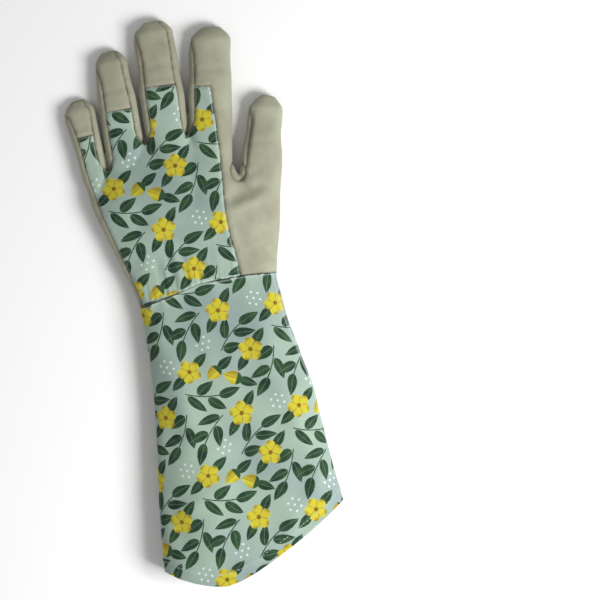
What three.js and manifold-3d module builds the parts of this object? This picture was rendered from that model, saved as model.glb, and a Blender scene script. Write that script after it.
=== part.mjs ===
// A long rose-pruning gauntlet for the left hand, lying on its palm with the back of the hand up.
// Soft leather covers the palm, the thumb and the fingertips, and printed cotton the back of the hand
// and the long flared cuff. The glove is one hollow shell, parted along its seams into the pieces that
// a glover cuts and sews. Millimetres: +X is the thumb side, +Y the fingertips, +Z up from the table.
import * as THREE from "three";
import { mergeVertices } from "three/addons/utils/BufferGeometryUtils.js";
import Module from "manifold-3d";

const wasm = await Module();
wasm.setup();

// Walls, and the gap that two sewn pieces keep at their seam
const handWall = 1.5;
const cuffWall = 1.2;
const seamGap = 0.3;

// Cuff, laid flat
const cuffLength = 228;
const wristWidth = 107.5;
const wristHeight = 25;
const mouthWidth = 154;
const mouthHeight = 35;
const hemRise = 48;

// Palm, from the wrist seam to the crotch of the index finger
const palmLength = 115;
const palmWidth = 117.5;
const palmShift = -20.8;
const palmHeight = 27;
const thumbCrotch = 82;

// Where the glove rests, its belly is pressed flat by this much
const cuffPress = 2.2;
const fingerPress = 1.6;

// Seams: how far in from a finger's or the hand's outline they lie, seen from above, and at least
// how far apart a finger's two seams stay at its tip
const fingerSeamInset = 4.4;
const tipSeamSpan = 10;
const palmWrap = 4.4;
const wristWrap = 2.6;
const thumbWrap = 9;
// How far the strips between the fingers reach down past the crotches
const crotchSeam = 5;
// The web between index finger and thumb: half its size across and up, and how far it lies from the
// index finger's side
const webAcross = 5.2;
const webUp = 7.2;
const webAside = 4;
// How far the outlines of seams are drawn past the edges that they cut, and beside the thumb
const overrun = 12;
const thumbGapWidth = 3;

// Facets
const tubeSides = 32;
const fingerSides = 16;
const facetSlack = 0.12;
const webSides = 12;
const roundness = 2.45;
const thinnest = 0.4;

const knuckleLeft = palmShift - palmWidth / 2;
const wristHalf = wristWidth / 2;
const mouthHalf = mouthWidth / 2;

// Fingers from the little finger on, and the thumb: root place across the knuckles and up the palm as
// shares, lean from +Y in degrees, length from the root inside the palm to the tip, widths near the
// root and at the tip's shoulder, thickness, sideways shift of the tip, how blunt the tip is, the share
// of the length that the printed cotton covers, and how far up the palm the crotch beyond it lies.
const fingers = [
  {
    across: 0.095, up: 0.74, lean: -2.9, length: 73, root: 20.5, tip: 25.5, deep: 13.5,
    shift: 0, blunt: 2.2, cotton: 0.6, crotch: 0.86,
  },
  {
    across: 0.309, up: 0.75, lean: 0.6, length: 104.5, root: 30.4, tip: 25.5, deep: 15,
    shift: 0, blunt: 2, cotton: 0.55, crotch: 0.98,
  },
  {
    across: 0.592, up: 0.78, lean: 2.1, length: 118, root: 33.6, tip: 30.5, deep: 16,
    shift: 1, blunt: 1.75, cotton: 0.565, crotch: 1,
  },
  {
    across: 0.835, up: 0.74, lean: 10, length: 111.5, root: 33.4, tip: 32, deep: 15.5,
    shift: 0.5, blunt: 1.95, cotton: 0.585, crotch: 1,
  },
];
const thumb = {
  across: 1.025, up: 0.15, lean: 14, length: 121.5, root: 33.5, tip: 26.5, deep: 18, shift: 1, blunt: 2,
};
const tipRound = 14;
// How much of its thickness a tip loses as it rounds off, and how far that lifts it off the table
const tipThinning = 0.85;
const tipLift = 0.8;

// Sections along a finger: share of its length, share of the way from root width to tip width,
// share of its thickness, and lift of its belly off the table as a share of the thickness.
const fingerSections = [
  { at: 0, narrow: 0, deep: 0.98, lift: 0.12 },
  { at: 0.32, narrow: 0.05, deep: 1.0, lift: 0.12 },
  { at: 0.52, narrow: 0.14, deep: 0.97, lift: 0.15 },
  { at: 0.66, narrow: 0.5, deep: 0.94, lift: 0.12 },
  { at: 0.78, narrow: 0.86, deep: 0.9, lift: 0.06 },
  { at: 0.87, narrow: 1, deep: 0.86, lift: 0.02 },
];
// Sections round the tip: share of the rounded stretch.
const tipSections = [0.5, 0.82, 0.97];

// Sections down the cuff: share of its length, share of the flare on the little-finger and thumb
// sides, and share of the way from the wrist's height to the mouth's.
const cuffSections = [
  { down: 1.1, little: 0.98, thumb: 1.2, rise: 1.04 },
  { down: 0.95, little: 0.84, thumb: 1.0, rise: 0.98 },
  { down: 0.79, little: 0.65, thumb: 0.84, rise: 0.84 },
  { down: 0.66, little: 0.47, thumb: 0.66, rise: 0.7 },
  { down: 0.52, little: 0.3, thumb: 0.62, rise: 0.56 },
  { down: 0.4, little: 0.15, thumb: 0.52, rise: 0.44 },
  { down: 0.28, little: 0.04, thumb: 0.3, rise: 0.32 },
  { down: 0.17, little: -0.02, thumb: 0.1, rise: 0.18 },
  { down: 0.07, little: -0.03, thumb: 0.02, rise: 0.06 },
];
// Sections up the hand: share of the palm's length, share of the way from the wrist's outline to the
// knuckles' on each side, share of the palm's height, and how far the little-finger side hangs back.
const handSections = [
  { up: 0, little: 0.05, thumb: 0, high: 0.95, back: 0 },
  { up: 0.11, little: 0.18, thumb: -0.22, high: 0.96, back: 0 },
  { up: 0.23, little: 0.34, thumb: -0.38, high: 0.98, back: 0 },
  { up: 0.35, little: 0.49, thumb: -0.45, high: 1, back: 0 },
  { up: 0.47, little: 0.63, thumb: -0.2, high: 1, back: 0.01 },
  { up: 0.59, little: 0.76, thumb: 0.5, high: 0.97, back: 0.03 },
  { up: 0.71, little: 0.85, thumb: 1.04, high: 0.91, back: 0.07 },
  { up: 0.82, little: 0.87, thumb: 1.1, high: 0.81, back: 0.12 },
  { up: 0.91, little: 0.91, thumb: 1.1, high: 0.64, back: 0.17 },
  { up: 0.99, little: 0.91, thumb: 1.1, high: 0.38, back: 0.22 },
];

// Soft folds of the upper side: both ends as shares of the palm's width and length from the wrist,
// then width and depth. A fold of negative depth stands up.
const folds = [
  { x1: -0.34, y1: 0.34, x2: -0.3, y2: -0.03, wide: 7, deep: 1.5 },
  { x1: -0.17, y1: 0.4, x2: -0.15, y2: -0.02, wide: 7, deep: 1.3 },
  { x1: -0.02, y1: 0.36, x2: 0.01, y2: 0, wide: 7, deep: 1.2 },
  { x1: 0.17, y1: 0.5, x2: 0.42, y2: 0.56, wide: 8, deep: 2 },
  { x1: -0.4, y1: -0.1, x2: -0.2, y2: -0.9, wide: 12, deep: 1.6 },
  { x1: 0.12, y1: -0.08, x2: 0.2, y2: -0.75, wide: 13, deep: -1.2 },
  { x1: 0.3, y1: -0.12, x2: 0.42, y2: -1.1, wide: 12, deep: 1.4 },
];

// Closed solids from geometries, and back.
function solid(geometry) {
  const bare = geometry.clone();
  bare.deleteAttribute("normal");
  bare.deleteAttribute("uv");
  const merged = mergeVertices(bare, 1e-4);
  return new wasm.Manifold(
    new wasm.Mesh({
      numProp: 3,
      vertProperties: merged.attributes.position.array,
      triVerts: new Uint32Array(merged.index.array),
    }),
  );
}

function geometryOf(body) {
  const mesh = body.getMesh();
  const corners = new Float32Array(mesh.numVert * 3);
  for (let i = 0; i < mesh.numVert; i++) {
    corners.set(mesh.vertProperties.subarray(i * mesh.numProp, i * mesh.numProp + 3), i * 3);
  }
  const geometry = new THREE.BufferGeometry();
  geometry.setAttribute("position", new THREE.BufferAttribute(corners, 3));
  geometry.setIndex(new THREE.BufferAttribute(new Uint32Array(mesh.triVerts), 1));
  geometry.computeVertexNormals();
  return geometry;
}

// Skins a list of rings, each with the same number of points, and closes both ends.
function loft(rings) {
  const sides = rings[0].length;
  const points = rings.flat();
  const faces = [];
  for (let r = 0; r + 1 < rings.length; r++) {
    for (let k = 0; k < sides; k++) {
      const a = r * sides + k;
      const b = r * sides + ((k + 1) % sides);
      faces.push(a, b, a + sides, b, b + sides, a + sides);
    }
  }
  for (const end of [0, rings.length - 1]) {
    const centre = points.length;
    const middle = new THREE.Vector3();
    rings[end].forEach((p) => middle.add(p));
    points.push(middle.divideScalar(sides));
    for (let k = 0; k < sides; k++) {
      const a = end * sides + k;
      const b = end * sides + ((k + 1) % sides);
      faces.push(...(end === 0 ? [centre, b, a] : [centre, a, b]));
    }
  }
  const geometry = new THREE.BufferGeometry().setFromPoints(points);
  geometry.setIndex(faces);
  const body = solid(geometry);
  return body.volume() < 0 ? solid(flipped(geometry)) : body;
}

function flipped(geometry) {
  const index = geometry.index.array;
  for (let i = 0; i < index.length; i += 3) {
    [index[i + 1], index[i + 2]] = [index[i + 2], index[i + 1]];
  }
  return geometry;
}

// One rounded section: centre, the direction across it in plan, half its width and half its height.
function ring(section, wall, sides, shape = (p) => p) {
  const half = Math.max(section.half - wall, thinnest);
  const tall = Math.max(section.tall - wall, thinnest);
  const points = [];
  for (let k = 0; k < sides; k++) {
    const turn = (2 * Math.PI * (k + 0.5)) / sides;
    const out = Math.sign(Math.cos(turn)) * Math.abs(Math.cos(turn)) ** (2 / roundness);
    const rise = Math.sign(Math.sin(turn)) * Math.abs(Math.sin(turn)) ** (2 / roundness);
    const point = section.centre
      .clone()
      .addScaledVector(section.across, out * half)
      .add(new THREE.Vector3(0, -section.back * Math.max(-out, 0), rise * tall));
    points.push(shape(point, rise));
  }
  return points;
}

function mix(a, b, share) {
  return a + (b - a) * share;
}

// How far the upper side sinks at a place because of the folds there.
function foldDepth(x, y) {
  let sunk = 0;
  for (const fold of folds) {
    const start = new THREE.Vector3(fold.x1 * palmWidth, fold.y1 * palmLength, 0);
    const end = new THREE.Vector3(fold.x2 * palmWidth, fold.y2 * palmLength, 0);
    const line = new THREE.Line3(start, end);
    const spot = new THREE.Vector3(x, y, 0);
    const near = line.closestPointToPoint(spot, true, new THREE.Vector3());
    sunk += fold.deep * Math.exp(-((near.distanceTo(spot) / fold.wide) ** 2));
  }
  return sunk;
}

// The sections of the cuff and the hand, from beyond the mouth to the knuckles.
function mainSections() {
  const across = new THREE.Vector3(1, 0, 0);
  const sections = [];
  const add = (left, right, y, height, back) =>
    sections.push({
      centre: new THREE.Vector3((left + right) / 2, y, height / 2 - cuffPress),
      across,
      half: (right - left) / 2,
      tall: height / 2,
      back,
    });
  for (const s of cuffSections) {
    add(
      -mix(wristHalf, mouthHalf, s.little),
      mix(wristHalf, mouthHalf, s.thumb),
      -s.down * cuffLength,
      mix(wristHeight, mouthHeight, s.rise) + cuffPress,
      0,
    );
  }
  for (const s of handSections) {
    add(
      -mix(wristHalf, -knuckleLeft, s.little),
      mix(wristHalf, knuckleLeft + palmWidth, s.thumb),
      s.up * palmLength,
      palmHeight * s.high + cuffPress,
      s.back * palmLength,
    );
  }
  return sections;
}

// A finger's axis and outline, shared by its tube and its seams.
function fingerLine(finger) {
  const lean = THREE.MathUtils.degToRad(finger.lean);
  const along = new THREE.Vector3(Math.sin(lean), Math.cos(lean), 0);
  const across = new THREE.Vector3(along.y, -along.x, 0);
  const root = new THREE.Vector3(
    knuckleLeft + finger.across * palmWidth,
    finger.up * palmLength,
    0,
  );
  const shoulder = 1 - tipRound / finger.length;
  const half = (at) => {
    const rows = fingerSections;
    const next = rows.findIndex((row) => row.at >= at);
    if (next === 0) return finger.root / 2;
    if (next < 0) return finger.tip / 2;
    const [a, b] = [rows[next - 1], rows[next]];
    const narrow = mix(a.narrow, b.narrow, (at - a.at) / (b.at - a.at));
    return mix(finger.root, finger.tip, narrow) / 2;
  };
  // The share of its width that the tip keeps towards its end
  const round = (at) => {
    const share = THREE.MathUtils.clamp((at - shoulder) / (1 - shoulder), 0, 1);
    return (1 - share ** finger.blunt) ** (1 / finger.blunt);
  };
  const shift = (at) => finger.shift * Math.max(0, 2 * at - 1) ** 2;
  const point = (at, out) =>
    root
      .clone()
      .addScaledVector(along, at * finger.length)
      .addScaledVector(across, out + shift(at));
  return { along, across, root, shoulder, half, round, point };
}

function fingerTube(finger, wall) {
  const line = fingerLine(finger);
  const end = wall / finger.length;
  const rings = [];
  const add = (at, half, tall, lift) => {
    const centre = line.point(mix(end, 1 - end, at), 0);
    centre.z = tall - fingerPress + lift;
    rings.push(ring({ centre, across: line.across, half, tall, back: 0 }, wall, fingerSides));
  };
  for (const s of fingerSections) {
    const at = Math.min(s.at, line.shoulder);
    add(at, line.half(at), (finger.deep * s.deep + fingerPress) / 2, s.lift * finger.deep);
  }
  const last = fingerSections.at(-1);
  const tall = (finger.deep * last.deep + fingerPress) / 2;
  for (const share of tipSections) {
    const at = mix(line.shoulder, 1, share);
    const round = line.round(at);
    const flat = mix(tall, tall * round, tipThinning);
    add(at, (finger.tip / 2) * round, flat, last.lift * finger.deep + (tall - flat) * tipLift);
  }
  return loft(rings);
}

// Everything above a height, as wide as the glove.
function above(height) {
  const span = 2 * (cuffLength + palmLength + thumb.length + mouthWidth);
  const box = new THREE.BoxGeometry(span, span, span);
  box.translate(0, 0, height + span / 2);
  return solid(box);
}

// The filled form of the glove, less a wall's thickness all round.
function filled(cuffLess, handLess) {
  const rings = (wall, chosen) =>
    chosen.map((s) =>
      ring(s, wall, tubeSides, (p, rise) => {
        if (rise > 0) p.z -= foldDepth(p.x, p.y) * Math.sqrt(rise);
        return p;
      }),
    );
  const sections = mainSections();
  sections.at(-1).centre.y -= handLess;
  const wrist = sections.findIndex((s) => s.centre.y >= 0);
  const main = loft([
    ...rings(cuffLess, sections.slice(0, wrist)),
    ...rings(handLess, sections.slice(wrist)),
  ]);
  const tubes = [...fingers, thumb].map((finger) => fingerTube(finger, handLess));
  const whole = tubes.reduce((sum, tube) => sum.add(tube), main);
  return whole.intersect(above(Math.min(cuffLess, handLess)));
}

// An upright prism over an outline in plan
function prism(outline, low, high) {
  const shape = new THREE.Shape(outline.map((p) => new THREE.Vector2(p.x, p.y)));
  const geometry = new THREE.ExtrudeGeometry(shape, { depth: high - low, bevelEnabled: false });
  geometry.translate(0, 0, low);
  return solid(geometry);
}

// A thin upright band along a line in plan, reaching a gap's width to either side of it
function band(points, low, high) {
  const walls = [];
  for (let i = 0; i + 1 < points.length; i++) {
    const along = points[i + 1].clone().sub(points[i]);
    if (along.length() < seamGap) continue;
    along.setLength(seamGap);
    const aside = new THREE.Vector3(-along.y, along.x, 0);
    const start = points[i].clone().sub(along);
    const end = points[i + 1].clone().add(along);
    const corners = [
      start.clone().sub(aside),
      end.clone().sub(aside),
      end.clone().add(aside),
      start.clone().add(aside),
    ];
    walls.push(prism(corners, low, high));
  }
  return join(walls);
}

function join(bodies) {
  return bodies.reduce((sum, body) => sum.add(body));
}

function smooth(points, steps) {
  return new THREE.CatmullRomCurve3(points).getPoints(steps);
}

const plan = (x, y) => new THREE.Vector3(x * palmWidth, y * palmLength, 0);
const place = (x, y) => new THREE.Vector3(x, y, 0);

// Heights inside the hollow at which upper pieces are parted from lower ones, in the fingers and in
// the hand, and heights and lengths well beyond the glove
const parting = fingers[0].deep / 2;
const handParting = 0.45 * palmHeight;
const handTop = fingers[0].up * palmLength;
const sky = palmHeight + mouthHeight;
const ground = -sky;
const far = 2 * cuffLength;

const [little, ringFinger, middle, index] = fingers;
const line = new Map([...fingers, thumb].map((finger) => [finger, fingerLine(finger)]));

// A seam up one side of a finger, from a share of its length to past the tip, whose outline it
// follows inwards. With a negative inset it runs outside the finger.
function sideSeam(finger, side, inset, from) {
  const { point, half, round, shoulder } = line.get(finger);
  const past = 1 + overrun / finger.length;
  const shares = [0, 0.5, 1].map((t) => mix(from, shoulder, t));
  const tipShares = tipSections.map((t) => mix(shoulder, 1, t));
  return [...shares, ...tipShares, past].map((at) => {
    const straight = half(Math.min(at, 1)) - inset;
    const bent = half(Math.min(at, 1)) * round(at) - inset;
    return point(at, side * Math.max(bent, Math.min(straight, tipSeamSpan / 2)));
  });
}

// The seam round the strip between two fingers: down one finger, round the crotch and up the other
const forks = [
  [little, ringFinger],
  [ringFinger, middle],
  [middle, index],
].map(([a, b]) => {
  const level = a.crotch * palmLength;
  const edge = (finger, side) => {
    const { root, along, point, half } = line.get(finger);
    const at = (level - root.y) / along.y / finger.length;
    return { at: at + seamGap / finger.length, side: point(at, side * half(at)) };
  };
  const one = edge(a, 1);
  const two = edge(b, -1);
  const dip = one.side.add(two.side).multiplyScalar(0.5).setY(level - crotchSeam);
  const down = sideSeam(a, 1, fingerSeamInset, one.at).reverse();
  return { dip, seam: [...down, dip, ...sideSeam(b, -1, fingerSeamInset, two.at)] };
});

// The end of the printed cotton across a finger's back
function cottonEnd(finger) {
  const { point, half } = line.get(finger);
  return [-1, 1].map((side) => point(finger.cotton, side * half(finger.cotton)));
}

// Wrist seam across the whole glove
const wristSeam = smooth(
  [
    plan(-0.75, -0.13),
    plan(-0.45, -0.077),
    plan(-0.225, -0.028),
    plan(-0.04, 0.015),
    plan(0.23, 0.016),
    plan(0.45, 0),
    plan(0.75, -0.015),
  ],
  16,
);

// Upper seam between the cotton back and the leather of index finger and thumb
const indexEnd = line.get(index).point(index.cotton, 0);
const thumbSideSeam = [
  ...smooth(
    [
      plan(0.235, -0.12),
      plan(0.222, 0.16),
      plan(0.206, 0.36),
      plan(0.212, 0.54),
      plan(0.228, 0.7),
      plan(0.24, 0.87),
      plan(0.25, 1.05),
    ],
    14,
  ),
  indexEnd,
];

// Upper seam between the cotton back and the palm leather that wraps the little finger's side
const littleRoots = handSections
  .filter((s) => s.up < 0.65)
  .map((s) => {
    const edge = -mix(wristHalf, -knuckleLeft, s.little);
    return place(edge + mix(wristWrap, palmWrap, s.up), s.up * palmLength);
  });
const littleSideSeam = [
  place(littleRoots[0].x, -2 * overrun),
  ...littleRoots,
  ...sideSeam(little, -1, fingerSeamInset, 0.25),
];

// The web between index finger and thumb, a small rounded piece on both sides of their crotch
const webMiddle = place(
  line.get(index).point(0, line.get(index).half(0)).x + webAside,
  thumbCrotch,
);
const webOutline = [...Array(webSides).keys()].map((k) => {
  const turn = (2 * Math.PI * k) / webSides;
  return webMiddle.clone().add(place(webAcross * Math.cos(turn), webUp * Math.sin(turn)));
});

// Lower seams: index finger's outer side, the thumb set into the palm, and the thumb's outer side
const indexOuterSeam = [webMiddle, ...sideSeam(index, 1, fingerSeamInset, 0.1)];
const thumbFoot = plan(0.41, 0.14);
const thumbSetSeam = smooth(
  [
    webMiddle,
    plan(0.235, 0.66),
    plan(0.16, 0.57),
    plan(0.122, 0.47),
    plan(0.13, 0.37),
    plan(0.19, 0.265),
    plan(0.28, 0.2),
    thumbFoot,
  ],
  14,
);
const thumbOuterSeam = [thumbFoot, plan(0.45, 0.33), ...sideSeam(thumb, 1, thumbWrap, 0.4)];

// Upper seam up the inner side of the thumb
const thumbInnerSeam = [webMiddle, ...sideSeam(thumb, -1, fingerSeamInset, 0.54)];

// Lower seam below the ring and middle fingers
const frontSeam = smooth(
  [
    forks[0].dip,
    place(line.get(ringFinger).root.x, forks[0].dip.y - crotchSeam / 2),
    forks[1].dip,
    place(line.get(middle).root.x + crotchSeam / 2, forks[2].dip.y - crotchSeam),
    forks[2].dip,
  ],
  12,
);

// The hem's edge as it is cut, from the thumb side to the little finger's side
const hem = smooth(
  [
    [0.56, 0.02],
    [0.477, -0.04],
    [0.18, -0.6],
    [-0.06, -0.93],
    [-0.2, -0.99],
    [-0.36, -0.8],
    [-0.47, -0.6],
    [-0.56, -0.42],
  ].map(([x, y]) => place(x * mouthWidth, y * hemRise - (cuffLength - hemRise))),
  20,
);

// The space below the parting heights, moved up by a distance
function lowerSpace(up) {
  const fingerPart = prism(
    [place(-far, -far), place(far, -far), place(far, far), place(-far, far)],
    ground,
    parting + up,
  );
  const handPart = prism(
    [place(-far, -far), place(far, -far), place(far, handTop + up), place(-far, handTop + up)],
    ground,
    handParting + up,
  );
  return fingerPart.add(handPart);
}

// A region through the glove, or of its upper or lower half: the outline in plan is a seam closed by
// far corners. What it clears away is wider by the gap of its seam.
function through(seam, corners = []) {
  const body = prism([...seam, ...corners], ground, sky);
  return { body, cleared: body.add(band(seam, ground, sky)) };
}

function upper(seam, corners) {
  const whole = through(seam, corners);
  return {
    body: whole.body.subtract(lowerSpace(0)),
    cleared: whole.cleared.subtract(lowerSpace(-seamGap)),
  };
}

function lower(seam, corners) {
  const whole = through(seam, corners);
  return {
    body: whole.body.intersect(lowerSpace(0)),
    cleared: whole.cleared.intersect(lowerSpace(seamGap)),
  };
}

// Takes what is left of the shell within the regions, and clears the gap of the seams round it
let left = filled(0, 0).subtract(filled(cuffWall, handWall)).simplify(facetSlack);
function take(...regions) {
  const piece = left.intersect(join(regions.map((r) => r.body)));
  left = left.subtract(join(regions.map((r) => r.cleared)));
  return piece;
}

const wristFar = -2 * overrun;
take(
  through(hem, [
    place(-far, hem.at(-1).y),
    place(-far, -far),
    place(far, -far),
    place(far, hem[0].y),
  ]),
);
const cuff = take(
  through(wristSeam, [place(far, 0), place(far, -far), place(-far, -far), place(-far, 0)]),
);
const web = take(through([...webOutline, webOutline[0]]));
const strips = forks.map(({ seam }) => take(through(seam)));
const tipBacks = [little, ringFinger, middle].map((finger) => {
  const inset = finger === little ? fingerSeamInset : -seamGap;
  const edge = sideSeam(finger, -1, inset, finger.cotton);
  const other = sideSeam(finger, 1, -seamGap, finger.cotton).reverse();
  return take(upper([...edge, ...other, edge[0]]));
});
const indexCotton = cottonEnd(index)[0];
const cottonBack = take(
  upper([
    ...littleSideSeam,
    place(littleSideSeam.at(-1).x, far),
    place(indexCotton.x, far),
    indexCotton,
    ...[...thumbSideSeam].reverse(),
  ]),
);
const fronts = take(
  lower(frontSeam, [
    forks[2].dip.clone().setY(forks[2].dip.y + crotchSeam),
    line.get(index).point(1, -index.tip * 0.5),
    place(line.get(index).point(1, -index.tip * 0.5).x, far),
    place(forks[0].dip.x, far),
  ]),
);

// The thumb's front wraps its inner side, up to the seam on its back. Its outline closes in the gap
// beside the thumb, which is narrow near the crotch.
const thumbGap = [1.1, 0.8, 0.65].map((at) => {
  const { point, half } = line.get(thumb);
  return point(at, -half(Math.min(at, 1)) - thumbGapWidth * Math.min(1, (at - 0.5) * 5));
});
const thumbFront = take(
  lower([...thumbSetSeam, ...thumbOuterSeam.slice(1)], thumbGap),
  through(thumbInnerSeam, thumbGap),
);
const palm = take(
  lower(
    [...[...indexOuterSeam].reverse(), ...thumbSetSeam.slice(1), place(thumbFoot.x, wristFar)],
    [place(-far, wristFar), place(-far, far)],
  ),
  upper(littleSideSeam, [
    place(littleSideSeam.at(-1).x, far),
    place(-far, far),
    place(-far, wristFar),
  ]),
);
const thumbBack = left;
const [ringFront, middleFront] = fronts
  .decompose()
  .sort((a, b) => b.volume() - a.volume())
  .slice(0, 2)
  .sort((a, b) => a.boundingBox().min[0] - b.boundingBox().min[0]);

// Leather and printed cotton
const leather = 0xa9a58f;
const print = 0xa3bab2;
const parts = [
  { name: "cuff", body: cuff, colour: print, roughness: 0.9 },
  { name: "cotton_back", body: cottonBack, colour: print, roughness: 0.9 },
  { name: "palm", body: palm, colour: leather, roughness: 0.78 },
  { name: "thumb_back", body: thumbBack, colour: leather, roughness: 0.76 },
  { name: "thumb_front", body: thumbFront, colour: leather, roughness: 0.8 },
  { name: "thumb_web", body: web, colour: leather, roughness: 0.74 },
  { name: "ring_front", body: ringFront, colour: leather, roughness: 0.79 },
  { name: "middle_front", body: middleFront, colour: leather, roughness: 0.77 },
  { name: "little_tip_back", body: tipBacks[0], colour: leather, roughness: 0.75 },
  { name: "ring_tip_back", body: tipBacks[1], colour: leather, roughness: 0.75 },
  { name: "middle_tip_back", body: tipBacks[2], colour: leather, roughness: 0.75 },
  { name: "little_ring_strip", body: strips[0], colour: leather, roughness: 0.82 },
  { name: "ring_middle_strip", body: strips[1], colour: leather, roughness: 0.82 },
  { name: "middle_index_strip", body: strips[2], colour: leather, roughness: 0.82 },
];
// Each piece is the one closed body that its regions leave
const glove = new THREE.Group();
glove.name = "rose_gauntlet";
for (const part of parts) {
  const bodies = part.body.simplify(facetSlack).decompose();
  const [body] = bodies.sort((a, b) => b.volume() - a.volume());
  const material = new THREE.MeshStandardMaterial({
    color: part.colour,
    roughness: part.roughness,
    metalness: 0,
  });
  material.name = part.colour === print ? "printed_cotton" : "soft_leather";
  const mesh = new THREE.Mesh(geometryOf(body), material);
  mesh.name = part.name;
  glove.add(mesh);
}

// The origin lies on the table below the middle of the glove
const bounds = new THREE.Box3().setFromObject(glove);
const origin = bounds.getCenter(new THREE.Vector3()).setZ(bounds.min.z);
glove.children.forEach((mesh) => mesh.geometry.translate(-origin.x, -origin.y, -origin.z));

export default glove;
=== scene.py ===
import math

import bmesh
import bpy
import numpy as np
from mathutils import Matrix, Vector


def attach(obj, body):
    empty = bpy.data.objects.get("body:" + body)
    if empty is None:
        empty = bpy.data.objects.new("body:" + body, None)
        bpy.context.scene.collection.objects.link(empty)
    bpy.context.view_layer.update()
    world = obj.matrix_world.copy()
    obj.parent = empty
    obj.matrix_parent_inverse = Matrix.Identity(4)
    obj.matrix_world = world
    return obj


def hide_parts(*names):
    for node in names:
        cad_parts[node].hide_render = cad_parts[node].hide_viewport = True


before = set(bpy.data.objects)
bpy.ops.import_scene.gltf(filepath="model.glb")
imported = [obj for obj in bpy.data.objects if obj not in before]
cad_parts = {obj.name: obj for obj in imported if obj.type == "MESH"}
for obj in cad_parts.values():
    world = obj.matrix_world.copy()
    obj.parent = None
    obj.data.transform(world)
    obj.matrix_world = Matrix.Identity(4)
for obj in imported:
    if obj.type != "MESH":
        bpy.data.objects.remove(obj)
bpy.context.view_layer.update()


def new_object(name, data):
    """An object of the scene that shows the given data."""
    made = bpy.data.objects.new(name, data)
    bpy.context.collection.objects.link(made)
    return made


# Camera
# A long lens looks straight down at the table, so the glove keeps its true outline. The fingertips
# lean to the left of upright, and the cuff runs down to the lower edge.
view_width = 0.459
view_height = 2.3
view_centre = (0.0695, -0.0142)
view_turn = math.radians(-10.5)
glove_middle = 0.016

lens = bpy.data.cameras.new("studio_camera")
lens.sensor_width = 36
lens.lens = 36 * (view_height - glove_middle) / view_width
lens.clip_end = 20
camera = new_object("studio_camera", lens)
camera.location = (*view_centre, view_height)
camera.rotation_euler = (0, 0, view_turn)
bpy.context.scene.camera = camera

# Cuff
# A long flared tube of printed cotton, cut on a slant and sewn to the hand at the wrist. Its mouth is
# a turned hem with one row of stitches, and its side seam runs down the thumb side.
# Lengths are millimetres from the middle of the wrist seam, then moved to the frame's origin.
frame_origin = np.array([1.68, 10.08, 0.0])
cotton_thick = 1.1
hem_deep = 9.0
# How full the sections' sides are, how far the underside is pressed flat, and the size of the grid
roundness = 2.45
cuff_press = 2.2
cuff_step = 1.5
cuff_round = 210

cuff_rows = {
    "y": [-250, -217, -180, -150, -119, -91, -64, -39, -16, 0, 12],
    "little": [-78.5, -73.3, -68.9, -64.7, -60.7, -57.2, -54.7, -53.3, -53.0, -54.9, -57.5],
    "thumb": [81.5, 77.2, 73.4, 69.3, 67.4, 66.0, 60.5, 56.0, 54.2, 53.8, 56.0],
    "high": [35.5, 34.8, 33.4, 32.0, 30.6, 29.4, 28.2, 26.8, 25.6, 25.8, 26.0],
}
wrist_line = [(-90, -17), (-53, -8.9), (-26, -3.2), (-5, 1.7), (27, 1.8), (53, 0), (90, -2)]
hem_line = [(-110, -184), (-86, -200), (-72, -209.5), (-62, -216), (-50, -221.8), (-38, -226)]
hem_line += [(-26, -228.2), (-14, -226), (0, -220.8), (14, -214.3), (28, -207.3), (44, -198.6)]
hem_line += [(58, -190.2), (73.4, -180.2), (110, -155)]
# Long soft folds of the lying cuff: ends, width, and how deep each sinks, or stands where negative
cuff_folds = [
    ((-44, -14), (-30, -120), 10, 2.1),
    ((-38, -104), (-32, -218), 15, 2.3),
    ((-12, -10), (-6, -80), 8, 1.2),
    ((14, -8), (20, -96), 12, -1.5),
    ((30, -20), (46, -120), 9, 1.7),
    ((4, -118), (14, -210), 15, -1.5),
    ((48, -96), (58, -186), 8, 1.5),
    ((-58, -150), (-52, -205), 8, -1.0),
    ((-8, -150), (-50, -168), 7, 0.9),
    ((34, -186), (66, -150), 6, 1.1),
]


def bell(distance, wide):
    """One on a line and soft to nought beside it."""
    return np.exp(-((distance / wide) ** 2))


def table_value(rows, column, y, soft=7):
    """A smooth curve through a table's column, read at many places at once."""
    reach = np.arange(rows["y"][0] - 30, rows["y"][-1] + 30, 1.0)
    dense = np.interp(reach, rows["y"], rows[column])
    pull = bell(np.linspace(-2, 2, 4 * soft + 1), 1)
    edge = 2 * soft
    padded = np.pad(dense, edge, mode="edge")
    return np.interp(y, reach, np.convolve(padded, pull / pull.sum(), mode="valid"))


def near_line(line, x, y):
    """Distance to a line in plan, and the share of its length at which each place lies."""
    best = np.full(len(x), 1e9)
    share = np.zeros(len(x))
    parts = len(line) - 1
    for i in range(parts):
        (ax, ay), (bx, by) = line[i][:2], line[i + 1][:2]
        dx, dy = bx - ax, by - ay
        t = np.clip(((x - ax) * dx + (y - ay) * dy) / max(dx * dx + dy * dy, 1e-9), 0, 1)
        d = np.hypot(x - ax - t * dx, y - ay - t * dy)
        share = np.where(d < best, (i + t) / parts, share)
        best = np.minimum(best, d)
    return best, share


def within(outline, x, y):
    """Distance into a closed outline in plan, less than nought outside it."""
    closed = list(outline) + [outline[0]]
    distance, _ = near_line(closed, x, y)
    odd = np.zeros(len(x), bool)
    for (ax, ay), (bx, by) in zip(closed, closed[1:]):
        if ay == by:
            continue
        odd ^= ((ay > y) != (by > y)) & (x < ax + (y - ay) * (bx - ax) / (by - ay))
    return np.where(odd, distance, -distance)


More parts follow.
